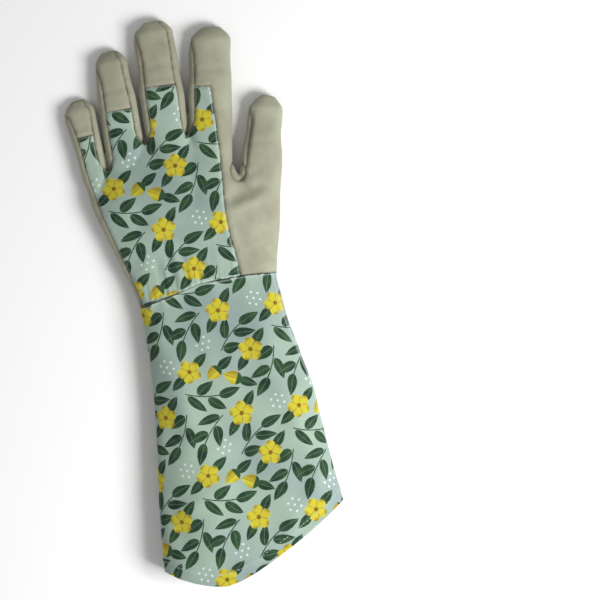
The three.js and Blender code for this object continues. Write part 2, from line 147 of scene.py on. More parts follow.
def waves(points, length, seed, stretch=(1, 1, 1)):
    """A soft random field of about one unit, with waves of about the given length."""
    count = 22
    random = np.random.default_rng(seed)
    total = np.zeros(len(points))
    for _ in range(count):
        way = random.normal(size=3)
        way *= np.array(stretch) / np.linalg.norm(way)
        pitch = 2 * math.pi / (length * random.uniform(0.7, 1.4))
        total += np.cos(points @ way * pitch + random.uniform(0, 2 * math.pi))
    return total / math.sqrt(count / 2)


def folded(folds, x, y):
    """How far each place stands out or sinks for a list of soft folds, faded at their ends."""
    height = np.zeros(len(x))
    for start, end, wide, deep in folds:
        distance, share = near_line([start, end], x, y)
        fade = np.clip(np.minimum(share, 1 - share) * 4 + 0.25, 0, 1)
        height -= deep * fade * bell(distance, wide)
    return height


def trim(points, faces, value):
    """Keeps the part of a triangle mesh where a value at its corners is above nought."""
    inside = value > 0
    count = inside[faces].sum(axis=1)
    kept = [faces[count == 3]]
    corners = []
    for inner in (1, 2):
        group = faces[count == inner]
        odd = inside[group] if inner == 1 else ~inside[group]
        turn = (odd.argmax(axis=1)[:, None] + np.arange(3)) % 3
        corners.append(group[np.arange(len(group))[:, None], turn])
    pairs = np.concatenate([c[:, [0, k]] for c in corners for k in (1, 2)])
    unique, place = np.unique(np.sort(pairs, axis=1), axis=0, return_inverse=True)
    place = place.reshape(-1) + len(points)
    low, high = unique.T
    t = value[low] / (value[low] - value[high])
    between = points[low] + (points[high] - points[low]) * t[:, None]
    one, two = len(corners[0]), len(corners[1])
    ab1, ac1 = place[:one], place[one : 2 * one]
    ab2, ac2 = place[2 * one : 2 * one + two], place[2 * one + two :]
    kept.append(np.stack([corners[0][:, 0], ab1, ac1], axis=1))
    kept.append(np.stack([ab2, corners[1][:, 1], corners[1][:, 2]], axis=1))
    kept.append(np.stack([ab2, corners[1][:, 2], ac2], axis=1))
    kept = np.concatenate(kept)
    used, renamed = np.unique(kept, return_inverse=True)
    return np.concatenate([points, between])[used], renamed.reshape(-1, 3)


def read(rows, name, width, kind=float):
    """One value of every row of a mesh, as an array with a row for each."""
    values = np.empty(len(rows) * width, dtype=kind)
    rows.foreach_get(name, values)
    return values.reshape(-1, width)


def sewn_piece(name, place, faces, cut, seam, thick):
    """A piece of cloth or leather as a mesh of its own, with its wall turned inwards."""
    mesh = bpy.data.meshes.new(name)
    place = (place + frame_origin) / 1000
    mesh.from_pydata(place.tolist(), [], faces.tolist())
    mesh.validate()
    mesh.polygons.foreach_set("use_smooth", [True] * len(mesh.polygons))
    layer = mesh.uv_layers.new(name="cut")
    corner = read(mesh.loops, "vertex_index", 1, np.int32).ravel()
    layer.data.foreach_set("uv", (cut[corner] / 1000).astype(np.float32).ravel())
    seam_values = mesh.attributes.new("seam", "FLOAT", "POINT")
    seam_values.data.foreach_set("value", seam.astype(np.float32))
    joined = bmesh.new()
    joined.from_mesh(mesh)
    bmesh.ops.remove_doubles(joined, verts=joined.verts, dist=1e-6)
    joined.to_mesh(mesh)
    joined.free()
    piece = new_object(name, mesh)
    wall = piece.modifiers.new("wall", "SOLIDIFY")
    wall.thickness = thick / 1000
    wall.offset = -1
    wall.use_even_offset = False
    # The wall becomes plain mesh. An inner layer that would sink into the table lies above the outer
    graph = bpy.context.evaluated_depsgraph_get()
    solid = bpy.data.meshes.new_from_object(
        piece.evaluated_get(graph), preserve_all_data_layers=True, depsgraph=graph
    )
    corner = read(solid.vertices, "co", 3)
    outer, inner = corner[:, 2].reshape(2, -1)
    corner[:, 2] = np.concatenate([outer, np.where(inner < 0, outer + thick / 1000, inner)])
    solid.vertices.foreach_set("co", corner.ravel())
    piece.modifiers.clear()
    piece.data = solid
    bpy.data.meshes.remove(mesh)
    solid.name = name
    return piece


def rounded(half, tall, sides):
    """A round section with full sides, by half its width and half its height."""
    turn = 2 * math.pi * np.arange(sides) / sides
    out = np.sign(np.cos(turn)) * np.abs(np.cos(turn)) ** (2 / roundness)
    rise = np.sign(np.sin(turn)) * np.abs(np.sin(turn)) ** (2 / roundness)
    return out * half, rise * tall


def cuff_form():
    """The tube as a grid of rings from the mouth to past the wrist."""
    ys = np.arange(cuff_rows["y"][0], cuff_rows["y"][-1] + cuff_step, cuff_step)
    out, rise = rounded(1, 1, cuff_round)
    left, right, high = (table_value(cuff_rows, c, ys)[:, None] for c in ("little", "thumb", "high"))
    x = (left + right) / 2 + out * (right - left) / 2
    z = (high + cuff_press) / 2 * (1 + rise) - cuff_press
    return np.stack([x, np.broadcast_to(ys[:, None], x.shape), z], axis=2)


# The tube is opened along the thumb side, where its side seam is, so that the print can run round it
ring = cuff_form()
step = np.linalg.norm(np.roll(ring, -1, axis=1) - ring, axis=2)
walk = np.concatenate([np.zeros((len(ring), 1)), np.cumsum(step, axis=1)], axis=1)
outward = np.cross(np.array([0.0, 1.0, 0.0]), np.roll(ring, 1, axis=1) - np.roll(ring, -1, axis=1))
grid = np.concatenate([ring, ring[:, :1]], axis=1)
outward = np.concatenate([outward, outward[:, :1]], axis=1).reshape(-1, 3)
outward /= np.linalg.norm(outward, axis=1)[:, None]
points = grid.reshape(-1, 3)
index = np.arange(len(points)).reshape(grid.shape[:2])
quads = np.stack([index[:-1, :-1], index[:-1, 1:], index[1:, 1:], index[1:, :-1]], axis=2).reshape(-1, 4)
faces = np.concatenate([quads[:, [2, 1, 0]], quads[:, [3, 2, 0]]])
top_middle = walk[:, cuff_round // 4][:, None]
cut = np.stack([top_middle - walk + 4.0, grid[:, :, 1]], axis=2).reshape(-1, 2)

x, y, z = points.T
upper = np.clip((z - 6) / 10, 0, 1)
to_hem = y - np.interp(x, *np.array(hem_line).T)
to_wrist = np.interp(x, *np.array(wrist_line).T) - y
soft = waves(points, 62, 3, stretch=(1.2, 0.5, 1)) * 0.55 + waves(points, 24, 4) * 0.16
lift = upper * (folded(cuff_folds, x, y) + soft * np.clip(to_hem / 14, 0.35, 1))
# The hem is double cloth, drawn in a little along its stitches
lift += 0.5 / (1 + np.exp((to_hem - hem_deep) / 0.5))
lift -= 0.45 * bell(to_hem - hem_deep, 1.2)
lift += waves(points, 11, 5) * 0.16 * bell(to_hem - hem_deep, 5)
# The wrist seam pulls the cloth in and gathers it slightly
lift -= 0.55 * bell(to_wrist, 1.8)
lift += waves(points, 9, 6, stretch=(1.6, 0.3, 1)) * 0.28 * np.exp(-np.clip(to_wrist, 0, None) / 9)
# The side seam lies along the thumb side's edge
edge = table_value(cuff_rows, "thumb", y) - x
side_seam = np.hypot(edge - 2.0, np.clip(9 - z, 0, None) + np.clip(z - 17, 0, None))
lift -= 0.7 * bell(side_seam, 1.6)

moved = points + outward * lift[:, None]
moved[:, 2] = np.maximum(moved[:, 2], 0)
seam = np.minimum(np.minimum(to_wrist, 3 * np.abs(to_hem - hem_deep)), side_seam)
data = np.concatenate([moved, cut, seam[:, None], to_hem[:, None]], axis=1)
data, faces = trim(data, faces, to_wrist)
data, faces = trim(data, faces, data[:, 6])
cuff = sewn_piece("printed_cuff", data[:, :3], faces, data[:, 3:5], data[:, 5], cotton_thick)

# Printed cotton: a pale duck-egg ground with leafy twigs, yellow five-petalled blossoms, buds and
# tiny white dots in a half-drop repeat, printed on plain canvas weave. Places are millimetres of cloth.
print_wide = 76.0
print_high = 80.0
ground_colour = (0.340, 0.445, 0.355, 1)
ground_shade = (0.268, 0.345, 0.330, 1)
leaf_dark = (0.012, 0.034, 0.019, 1)
leaf_light = (0.030, 0.078, 0.030, 1)
petal_yellow = (0.54, 0.48, 0.035, 1)
petal_shade = (0.26, 0.17, 0.018, 1)
blossom_heart = (0.22, 0.12, 0.01, 1)
# dot_white also paints the highlight beside the seams
dot_white = (0.62, 0.70, 0.66, 1)

# Leaves on a twig: the step between them on one side and their slant; length and width of those beside
# the stem, at its end and behind a blossom; the thickness of stem and midrib
leaf_pitch = 15.0
leaf_slant = math.radians(50)
side_leaf = (16.5, 11.5)
end_leaf = (17.0, 12.0)
blossom_leaf = (15.0, 11.0)
stem_thick = 0.84
rib_thick = 0.4
# Each twig: the place of its middle in the repeat, turn in degrees, length and bend
twigs = [
    (34.7, 7.5, 241, 38, 0.008),
    (-13.9, -3.9, 355, 38, -0.009),
    (15.2, -37.2, 37, 38, 0.009),
    (-21.1, -33.6, 235, 38, -0.008),
]
# Each blossom: its place, turn and radius
blossoms = [(6.5, -20.7, 233, 9.6), (-25.6, 17.1, 37, 9.2), (23.8, 25.9, 228, 9.4)]
# Each bud: its place, turn, length and width
buds = [(5.3, 7.5, 152, 15, 16), (-7.9, 12.9, 212, 14, 15)]
# Each ring of dots: its place, turn and radius
dots = [(-10.4, 36.7, 10, 5), (35.0, -16.4, 40, 5)]
dot_radius = 1.1
# Threads of the weave in a metre of cloth, and the height of its relief in metres
thread_count = 1900
weave_relief = 0.00022


class Wiring:
    """Adds nodes to a tree and wires them. A node stands for its first output."""

    def __init__(self, tree):
        self.tree = tree

    def node(self, kind, **settings):
        node = self.tree.nodes.new(kind)
        for key, value in settings.items():
            setattr(node, key, value)
        return node

    def feed(self, node, fed):
        """Feeds a node's inputs, each by its name or number."""
        for key, value in fed.items():
            if isinstance(value, bpy.types.Node):
                value = value.outputs[0]
            if isinstance(value, bpy.types.NodeSocket):
                self.tree.links.new(value, node.inputs[key])
            else:
                node.inputs[key].default_value = value
        return node

    def wired(self, kind, fed, **settings):
        """A node with its settings made and its inputs fed."""
        return self.feed(self.node(kind, **settings), fed)

    def math(self, operation, *values, clamp=False):
        fed = dict(enumerate(values))
        return self.wired("ShaderNodeMath", fed, operation=operation, use_clamp=clamp)

    def times(self, one, two, clamp=False):
        return self.math("MULTIPLY", one, two, clamp=clamp)

    def plus(self, one, two):
        return self.math("ADD", one, two)

    def minus(self, one, two):
        return self.math("SUBTRACT", one, two)

    def most(self, one, two):
        return self.math("MAXIMUM", one, two)

    def far(self, one, two):
        return self.math("SQRT", self.plus(self.times(one, one), self.times(two, two)))

    def ramp(self, value, low, high, to_low=0.0, to_high=1.0):
        fed = {"Value": value, "From Min": low, "From Max": high, "To Min": to_low, "To Max": to_high}
        return self.wired("ShaderNodeMapRange", fed)

    def mix(self, share, one, two):
        return self.wired("ShaderNodeMix", {0: share, 6: one, 7: two}, data_type="RGBA").outputs[2]

    def noise(self, vector, scale, detail=2.0, rough=0.5):
        fed = {"Vector": vector, "Scale": scale, "Detail": detail, "Roughness": rough}
        return self.wired("ShaderNodeTexNoise", fed)

    def relief(self, shader, height, strength, deep):
        """Fine relief on a shader, as high as the given metres."""
        bump = self.wired("ShaderNodeBump", {"Height": height, "Strength": strength, "Distance": deep})
        self.feed(shader, {"Normal": bump})


def placed(w, u, v, x, y, turn):
    """Places along and across the nearest repeat of a motif that lies at x, y and is turned."""
    c, s = math.cos(math.radians(turn)), math.sin(math.radians(turn))
    du = w.minus(u, x)
    column = w.math("ROUND", w.math("DIVIDE", du, print_wide))
    du = w.math("MULTIPLY_ADD", column, -print_wide, du)
    drop = w.times(w.math("FLOORED_MODULO", column, 2.0), print_high / 2)
    dv = w.minus(w.plus(v, drop), y)
    row = w.math("ROUND", w.math("DIVIDE", dv, print_high))
    dv = w.math("MULTIPLY_ADD", row, -print_high, dv)
    along = w.plus(w.times(du, c), w.times(dv, s))
    across = w.minus(w.times(dv, c), w.times(du, s))
    return along, across


def leaf(w, a, b, length, wide):
    """A pointed leaf from its stalk at nought, and the pale line of its midrib."""
    t = w.math("DIVIDE", a, length, clamp=True)
    half = w.times(w.math("POWER", t, 0.62), w.minus(1.0, t))
    half = w.times(half, wide)
    off = w.math("ABSOLUTE", b)
    blade = w.times(w.minus(half, off), 3.2, clamp=True)
    rib = w.times(w.math("LESS_THAN", off, rib_thick / 2), blade)
    return blade, rib


def low_leaf(w, along, across):
    """A leaf that shows beyond what lies over its stalk."""
    return leaf(w, w.minus(along, 5.0), across, *blossom_leaf)


def twig(w, along, across, length, bend):
    """A bent stem with leaves on alternate sides and one at its end."""
    across = w.math("MULTIPLY_ADD", w.times(along, along), bend, across)
    along = w.plus(along, length / 2)
    side = w.math("GREATER_THAN", across, 0.0)
    start = w.minus(w.minus(along, 1.0), w.times(side, leaf_pitch / 2))
    number = w.math("FLOOR", w.math("DIVIDE", start, leaf_pitch))
    local = w.minus(start, w.times(number, leaf_pitch))
    off = w.math("ABSOLUTE", across)
    c, s = math.cos(leaf_slant), math.sin(leaf_slant)
    a = w.plus(w.times(local, c), w.times(off, s))
    b = w.minus(w.times(off, c), w.times(local, s))
    bent = w.plus(b, w.times(w.math("POWER", a, 2.0), 0.01))
    blade, rib = leaf(w, w.minus(a, 1.4), bent, *side_leaf)
    last = w.math("MULTIPLY_ADD", side, -0.5, (length - 20) / leaf_pitch)
    on_stem = w.times(w.math("GREATER_THAN", number, -0.5), w.math("LESS_THAN", number, last))
    blade, rib = w.times(blade, on_stem), w.times(rib, on_stem)
    tip, tip_rib = leaf(w, w.minus(along, length - 13), across, *end_leaf)
    stem = w.times(w.math("LESS_THAN", off, stem_thick / 2), w.math("GREATER_THAN", along, 0.0))
    stem = w.times(stem, w.math("LESS_THAN", along, length - 12))
    return w.most(w.most(blade, tip), stem), w.most(rib, tip_rib)


def blossom(w, along, across, radius):
    """Five rounded petals with a darker heart, and a shade along one side of each petal."""
    far = w.far(along, across)
    angle = w.math("ARCTAN2", across, along)
    lobes = w.math("ABSOLUTE", w.math("COSINE", w.times(angle, 2.5)))
    share = w.plus(w.times(w.math("POWER", lobes, 0.55), 0.36), 0.64)
    edge = w.times(share, radius)
    petals = w.times(w.minus(edge, far), 3.0, clamp=True)
    swirl = w.math("SINE", w.plus(w.times(angle, 5.0), 0.6))
    rim = w.ramp(w.minus(edge, far), radius * 0.34, 0.3)
    shade = w.times(w.ramp(swirl, -0.1, 0.9), rim)
    folds = w.math("LESS_THAN", lobes, 0.16)
    shade = w.most(shade, w.times(folds, 0.8))
    heart = w.times(w.minus(radius * 0.2, far), 3.0, clamp=True)
    return petals, shade, heart


def bud(w, along, across, length, wide):
    """A pointed furled bud with a darker fold, standing in a green cup."""
    whole, fold = leaf(w, w.plus(along, length / 2), across, length, wide)
    cup = w.times(whole, w.math("LESS_THAN", along, -0.22 * length))
    rim = w.ramp(w.math("ABSOLUTE", w.minus(across, 0.1 * wide)), 0.04 * wide, 0.3 * wide)
    return whole, w.most(w.times(rim, 0.75), fold), cup


def dot_ring(w, along, across, radius):
    """Six small dots in a ring round one more."""
    far = w.far(along, across)
    angle = w.math("ARCTAN2", across, along)
    off = w.math("PINGPONG", angle, math.pi / 6)
    aside = w.times(w.math("SINE", off), far)
    out = w.minus(w.times(w.math("COSINE", off), far), radius)
    near = w.math("MINIMUM", w.far(aside, out), far)
    return w.times(w.minus(dot_radius, near), 3.0, clamp=True)


def new_material(name, surface):
    """A material with the given values of its surface, the wiring of its tree, and its shader."""
    material = bpy.data.materials.new(name)
    material.use_nodes = True
    w = Wiring(material.node_tree)
    return material, w, w.feed(material.node_tree.nodes["Principled BSDF"], surface)


def printed_cotton():
    surface = {"Sheen Weight": 0.06, "Sheen Roughness": 0.6, "Specular IOR Level": 0.15}
    material, w, shader = new_material("printed_cotton", surface)
    cloth = w.node("ShaderNodeUVMap", uv_map="cut")
    split = w.wired("ShaderNodeSeparateXYZ", {0: cloth})
    # The print's edges waver a little, as dye does on a weave
    jitter = w.times(w.minus(w.noise(cloth, 900), 0.5), 0.7)
    u = w.math("MULTIPLY_ADD", split.outputs[0], 1000.0, jitter)
    v = w.minus(w.times(split.outputs[1], 1000.0), jitter)

    def each(motif, rows):
        """A motif drawn once for each row of a table, which gives its place, turn and size."""
        for x, y, turn, *size in rows:
            yield motif(w, *placed(w, u, v, x, y, turn), *size)

    leaves = ribs = yellow = shaded = hearts = cups = specks = 0.0
    # A pair of leaves stands behind each blossom, and one at the foot of each bud
    pairs = [(x, y, turn + half) for x, y, turn, _ in blossoms for half in (0, 180)]
    pairs += [(x, y, turn + 180) for x, y, turn, _, _ in buds]
    for blade, rib in [*each(twig, twigs), *each(low_leaf, pairs)]:
        leaves, ribs = w.most(leaves, blade), w.most(ribs, rib)
    for petals, shade, heart in each(blossom, blossoms):
        yellow, hearts = w.most(yellow, petals), w.most(hearts, heart)
        shaded = w.most(shaded, w.times(shade, petals))
    for whole, shade, cup in each(bud, buds):
        yellow, cups = w.most(yellow, whole), w.most(cups, cup)
        shaded = w.most(shaded, w.times(shade, whole))
    for ring_of_dots in each(dot_ring, dots):
        specks = w.most(specks, ring_of_dots)

    blotch = w.noise(cloth, 15, 2)
    colour = w.mix(w.ramp(blotch, 0.38, 0.66), ground_colour, ground_shade)
    colour = w.mix(specks, colour, dot_white)
    green = w.mix(w.ramp(w.noise(cloth, 120, 2), 0.35, 0.65), leaf_dark, leaf_light)
    green = w.mix(w.times(ribs, 0.35), green, ground_shade)
    colour = w.mix(leaves, colour, green)
    gold = w.mix(shaded, petal_yellow, petal_shade)
    gold = w.mix(hearts, gold, blossom_heart)
    colour = w.mix(yellow, colour, gold)
    colour = w.mix(cups, colour, leaf_light)
    # A band beside each seam and the hem's stitching is painted paler, a painted highlight where the
    # folded edge catches the light
    seam_distance = w.node("ShaderNodeAttribute", attribute_name="seam").outputs["Fac"]
    edge = w.times(w.ramp(seam_distance, 0.4, 0.8), w.ramp(seam_distance, 1.9, 1.3))
    colour = w.mix(w.times(edge, 0.25), colour, dot_white)

    # Plain weave, about two threads a millimetre, shows as fine relief and a faint change of tone
    warp, weft = (w.math("SINE", w.times(way, 2 * math.pi * thread_count)) for way in split.outputs[:2])
    weave = w.times(warp, weft)
    slub = w.noise(cloth, 700, 2)
    thread = w.plus(w.times(weave, 0.35), slub)
    tone = w.ramp(thread, 0.1, 1.1, 0.9, 1.06)
    # Right at a seam the cloth is painted darker, a painted shade in the seam's groove
    tone = w.times(tone, w.ramp(seam_distance, 0.1, 0.8, 0.8, 1.0))
    toned = w.wired("ShaderNodeVectorMath", {0: colour, "Scale": tone}, operation="SCALE")
    w.feed(shader, {"Base Color": toned, "Roughness": w.ramp(slub, 0.3, 0.7, 0.8, 0.93)})
    w.relief(shader, thread, 0.32, weave_relief)
    return material


cotton = printed_cotton()
cuff.data.materials.append(cotton)
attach(cuff, "root")
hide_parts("cuff")

# Hem stitches
# One row of pale thread holds the hem down all round the mouth of the cuff. The stitches are short and
# even, and each lies a little sunk in the cloth.
thread_pale = (0.42, 0.50, 0.43, 1)


def stitch_tree():
    """Nodes that lay even stitches along a line of edges."""
    tree = bpy.data.node_groups.new("stitches", "GeometryNodeTree")
    sockets = {"Geometry": "Geometry", "Pitch": "Float", "Length": "Float", "Thread": "Float"}
    sockets.update(Seed="Int", Material="Material")
    tree.interface.new_socket("Geometry", in_out="OUTPUT", socket_type="NodeSocketGeometry")
    for name, kind in sockets.items():
        tree.interface.new_socket(name, in_out="INPUT", socket_type="NodeSocket" + kind)
    w = Wiring(tree)
    given = w.node("NodeGroupInput").outputs
    line = w.wired("GeometryNodeMeshToCurve", {"Mesh": given["Geometry"]})
    fed = {"Curve": line, "Length": given["Pitch"]}
    spaced = w.wired("GeometryNodeResampleCurve", fed, mode="LENGTH")
    bead = w.wired("GeometryNodeMeshUVSphere", {"Segments": 6, "Rings": 4, "Radius": 0.5})
    bead = w.wired("GeometryNodeSetShadeSmooth", {"Geometry": bead})
    tangent = w.node("GeometryNodeInputTangent")
    along = w.wired("FunctionNodeAlignRotationToVector", {"Vector": tangent}, axis="X")
    uneven = w.wired("FunctionNodeRandomValue", {2: 0.85, 3: 1.1, "Seed": given["Seed"]}).outputs[1]
    reach = w.times(given["Length"], uneven)
    size = w.wired("ShaderNodeCombineXYZ", {"X": reach, "Y": given["Thread"], "Z": given["Thread"]})
    fed = {"Points": spaced, "Instance": bead, "Rotation": along, "Scale": size}
    laid = w.wired("GeometryNodeInstanceOnPoints", fed)
    real = w.wired("GeometryNodeRealizeInstances", {"Geometry": laid})
    dyed = w.wired("GeometryNodeSetMaterial", {"Geometry": real, "Material": given["Material"]})
    w.wired("NodeGroupOutput", {"Geometry": dyed})
    return tree


def thread_material(name, colour, shade):
    """Spun thread, with its twist as fine relief and a slightly uneven tone."""
    material, w, shader = new_material(name, {"Roughness": 0.7})
    place = w.node("ShaderNodeTexCoord").outputs["Object"]
    tone = w.ramp(w.noise(place, 260, 2), 0.35, 0.65)
    w.feed(shader, {"Base Color": w.mix(tone, colour, shade)})
    twist = w.wired("ShaderNodeTexWave", {"Vector": place, "Scale": 900}, bands_direction="DIAGONAL")
    w.relief(shader, twist.outputs["Fac"], 0.3, 0.0001)
    return material


stitch_nodes = stitch_tree()


def stitches(name, lines, closed, material, pitch, length, thread, seed):
    """One or more rows of stitches as a plain mesh."""
    points, edges = [], []
    for line in lines:
        first = len(points)
        points += [tuple((np.array(p) + frame_origin) / 1000) for p in line]
        edges += [(i, i + 1) for i in range(first, len(points) - 1)]
        if closed:
            edges.append((len(points) - 1, first))
    guide = bpy.data.meshes.new(name + "_guide")
    guide.from_pydata(points, edges, [])
    row = new_object(name + "_guide", guide)
    nodes = row.modifiers.new("stitches", "NODES")
    nodes.node_group = stitch_nodes
    values = {"Pitch": pitch / 1000, "Length": length / 1000, "Thread": thread / 1000}
    values.update(Seed=seed, Material=material)
    for socket in stitch_nodes.interface.items_tree:
        if socket.in_out == "INPUT" and socket.name in values:
            nodes[socket.identifier] = values[socket.name]
    evaluated = row.evaluated_get(bpy.context.evaluated_depsgraph_get())
    sewing = new_object(name, bpy.data.meshes.new_from_object(evaluated))
    sewing.data.name = name
    bpy.data.objects.remove(row)
    bpy.data.meshes.remove(guide)
    return sewing


hem_path = []
across_hem = (to_hem - hem_deep).reshape(grid.shape[:2])
surface, away = (a.reshape(*grid.shape[:2], 3) for a in (moved, outward))
for column in range(cuff_round):
    row = int(np.argmax(across_hem[:, column] > 0))
    below, beyond = across_hem[row - 1, column], across_hem[row, column]
    share = below / (below - beyond)
    place = surface[row - 1, column] * (1 - share) + surface[row, column] * share
    place = place + away[row, column] * 0.1
    hem_path.append((place[0], place[1], max(place[2], 0.3)))
hem_thread = thread_material("hem_thread", thread_pale, ground_shade)
hem_stitches = stitches(
    "hem_stitches", [hem_path], True, hem_thread, pitch=3.2, length=2.5, thread=0.6, seed=1
)
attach(hem_stitches, "root")

# Cotton back
# One panel of the same printed cotton covers the back of the hand and runs up each finger as a tongue.
# It is sewn into the leather all round, with the seams turned inside, and gathers a little at the wrist.
# The skin of the whole hand is formed here once, and each panel above the wrist is cut out of it.
skin_step = 0.8
hand_press = 2.2
finger_press = 1.6
finger_inset = 4.4
tip_round = 14.0
tip_span = 10.0
# Two fingers are parted by a crease for as long as they lie no further apart than this
touching = 2.6

hand_rows = {
    "y": [-40, -16, 0, 12.6, 26.4, 40.2, 54.0, 67.8, 81.6, 94.3, 104.6, 113.8],
    "little": [-53.3, -53.2, -55.0, -58.4, -62.5, -66.4, -70.0, -73.4, -75.7, -76.2, -77.2, -77.2],
    "thumb": [56.0, 54.2, 53.8, 57.2, 59.8, 60.9, 56.9, 45.9, 37.4, 36.4, 36.4, 36.4],
    "high": [26.8, 25.6, 25.6, 25.9, 26.5, 27.0, 27.0, 26.0, 23.8, 20.4, 16.9, 13.4],
    "back": [0, 0, 0, 0, 0, 0, 1.2, 3.4, 8.0, 13.8, 19.6, 25.3],
}
# For each finger its root in plan, lean from straight up in degrees, length from the root, widths at
# the root and the tip, thickness, bend of the tip, and the share of the length that the cotton covers
finger_table = """
name     x      y     lean  long   wide  tip   deep  bend  cotton
little  -68.8   85.1  -2.9   73    20.5  24.8  13.5  0     0.6
ring    -43.2   86.3   0.6  104.5  30.4  25.5  15    0     0.55
middle  -10.0   89.7   2.1  118    33.6  30.5  16    1     0.565
index    18.6   85.1  10    111.5  33.4  32    15.5  0.5   0.585
thumb    40.9   17.3  14    121.5  33.5  26.5  18    1     0
"""
header, *finger_lines = [line.split() for line in finger_table.strip().splitlines()]
fingers = {line[0]: dict(zip(header[1:], map(float, line[1:]))) for line in finger_lines}
# The tips are blunt and a little angular: millimetres from the end, and the share of the width there
tip_rows = [(0, 0), (0.3, 0.40), (1.5, 0.52), (4, 0.70), (7, 0.885), (9.5, 0.985), (12, 1)]
# Where each two fingers meet: the bottom of the fork in plan
forks = [
    ("little", "ring", (-58.8, 101.2)),
    ("ring", "middle", (-27.2, 116.6)),
    ("middle", "index", (5.6, 117.0)),
]
# Along each finger in hundredths: how far its width has gone to the tip's, its thickness, its lift
finger_rows = {
    "y": [0, 32, 52, 66, 78, 87],
    "narrow": [0, 0.05, 0.14, 0.5, 0.86, 1],
    "deep": [1.16, 1.04, 0.98, 0.94, 0.9, 0.86],
    "lift": [0, 0.08, 0.14, 0.12, 0.06, 0.02],
}


def on_finger(name, at, out):
    """A place in plan at a share of a finger's length and a distance out from its middle."""
    finger = fingers[name]
    lean = math.radians(finger["lean"])
    aside = out + finger["bend"] * max(0, 2 * at - 1) ** 2
    x, y = finger["x"], finger["y"]
    along = at * finger["long"]
    c, s = math.cos(lean), math.sin(lean)
    return x + s * along + c * aside, y + c * along - s * aside


def finger_half(name, at):
    """Half a finger's width at a share of its length."""
    finger = fingers[name]
    narrow = np.interp(100 * at, finger_rows["y"], finger_rows["narrow"])
    return (finger["wide"] + (finger["tip"] - finger["wide"]) * narrow) / 2


def tip_share(name, at):
    """How much of its width a finger keeps as its tip rounds off."""
    return np.interp((1 - at) * fingers[name]["long"], *zip(*tip_rows))


def tube_mesh(rings):
    """A closed mesh through rings of equal count, with both ends shut."""
    sides = len(rings[0])
    points = [p for ring in rings for p in ring]
    faces = []
    for r in range(len(rings) - 1):
        for k in range(sides):
            a, b = r * sides + k, r * sides + (k + 1) % sides
            faces.append((b, a, a + sides, b + sides))
    # Each end is closed by a wall that joins every upper point with the lower one beneath it
    for r in (0, len(rings) - 1):
        for k in range(sides // 2):
            wall = dict.fromkeys((k, k + 1, sides - k - 1, (sides - k) % sides))
            faces.append(tuple(r * sides + c for c in (wall if r == 0 else reversed(wall))))
    return points, faces


def hand_tubes():
    """The palm and the five fingers as closed tubes that run into one another."""
    rings = []
    for y in np.arange(-30, 117, 1.5):
        columns = ("little", "thumb", "high", "back")
        left, right, high, back = (float(table_value(hand_rows, c, y, 4)) for c in columns)
        half = (right - left) / 2
        out, rise = rounded(half, (high + hand_press) / 2, 160)
        x = (left + right) / 2 + out
        hang = back * (np.maximum(-out, 0) / half) ** 1.9
        rings.append(np.stack([x, y - hang, rise + (high - hand_press) / 2], axis=1))
    yield tube_mesh(rings)
    for name, finger in fingers.items():
        rings = []
        shoulder = 1 - tip_round / finger["long"]
        steps = [-0.14, -0.11, -0.08, -0.05, -0.02]
        steps += [*np.linspace(0, shoulder, int(finger["long"] * shoulder))]
        steps += [shoulder + (1 - shoulder) * u for u in 1 - np.linspace(1, 0.012, 18) ** 2]
        for at in steps:
            columns = ("deep", "lift", "narrow")
            deep, lift, narrow = (float(table_value(finger_rows, c, 100 * at, 3)) for c in columns)
            tall = (deep * finger["deep"] + finger_press) / 2
            # The little finger starts narrow inside the palm, so that it grows out of the hand's side
            slim = 2.0 * max(0, 0.14 - at) if name == "little" else 0
            shrink = tip_share(name, at) * (1 - slim)
            flat = tall * (max(tip_share(name, at), 0.05) ** 1.25)
            half = (finger["wide"] + (finger["tip"] - finger["wide"]) * narrow) / 2 * shrink
            out, rise = rounded(half, flat, 72)
            plan = [on_finger(name, at, o) for o in out]
            level = flat - finger_press + lift * finger["deep"] + (tall - flat) * 0.8
            rings.append([(x, y, level + r) for (x, y), r in zip(plan, rise)])
        yield tube_mesh(rings)


def hand_skin():
    """The tubes joined to one smooth skin of small even faces: places, outward ways and triangles."""
    points, faces = [], []
    for tube_points, tube_faces in hand_tubes():
        faces += [tuple(i + len(points) for i in face) for face in tube_faces]
        points += [tuple(map(float, p)) for p in tube_points]
    mesh = bpy.data.meshes.new("hand_tubes")
    mesh.from_pydata(points, [], faces)
    hand = new_object("hand_tubes", mesh)
    remesh = hand.modifiers.new("even", "REMESH")
    remesh.mode = "VOXEL"
    remesh.voxel_size = skin_step
    smooth = hand.modifiers.new("smooth", "SMOOTH")
    smooth.iterations = 9
    skin = hand.evaluated_get(bpy.context.evaluated_depsgraph_get()).to_mesh()
    skin.calc_loop_triangles()
    place, normal = read(skin.vertices, "co", 3), read(skin.vertices, "normal", 3)
    corners = read(skin.loop_triangles, "vertices", 3, np.int32)
    bpy.data.objects.remove(hand)
    bpy.data.meshes.remove(mesh)
    return place, normal, corners


def curve(points, steps=5):
    """A smooth line through points in plan."""
    p = np.array(points, dtype=float)
    p = np.concatenate([[2 * p[0] - p[1]], p, [2 * p[-1] - p[-2]]])
    line = []
    for i in range(1, len(p) - 2):
        for t in np.arange(steps) / steps:
            a, b, c, d = p[i - 1 : i + 3]
            bend = (2 * a - 5 * b + 4 * c - d) * t**2 + (3 * b - a - 3 * c + d) * t**3
            line.append(tuple(0.5 * (2 * b + (c - a) * t + bend)))
    return line + [tuple(p[-2])]


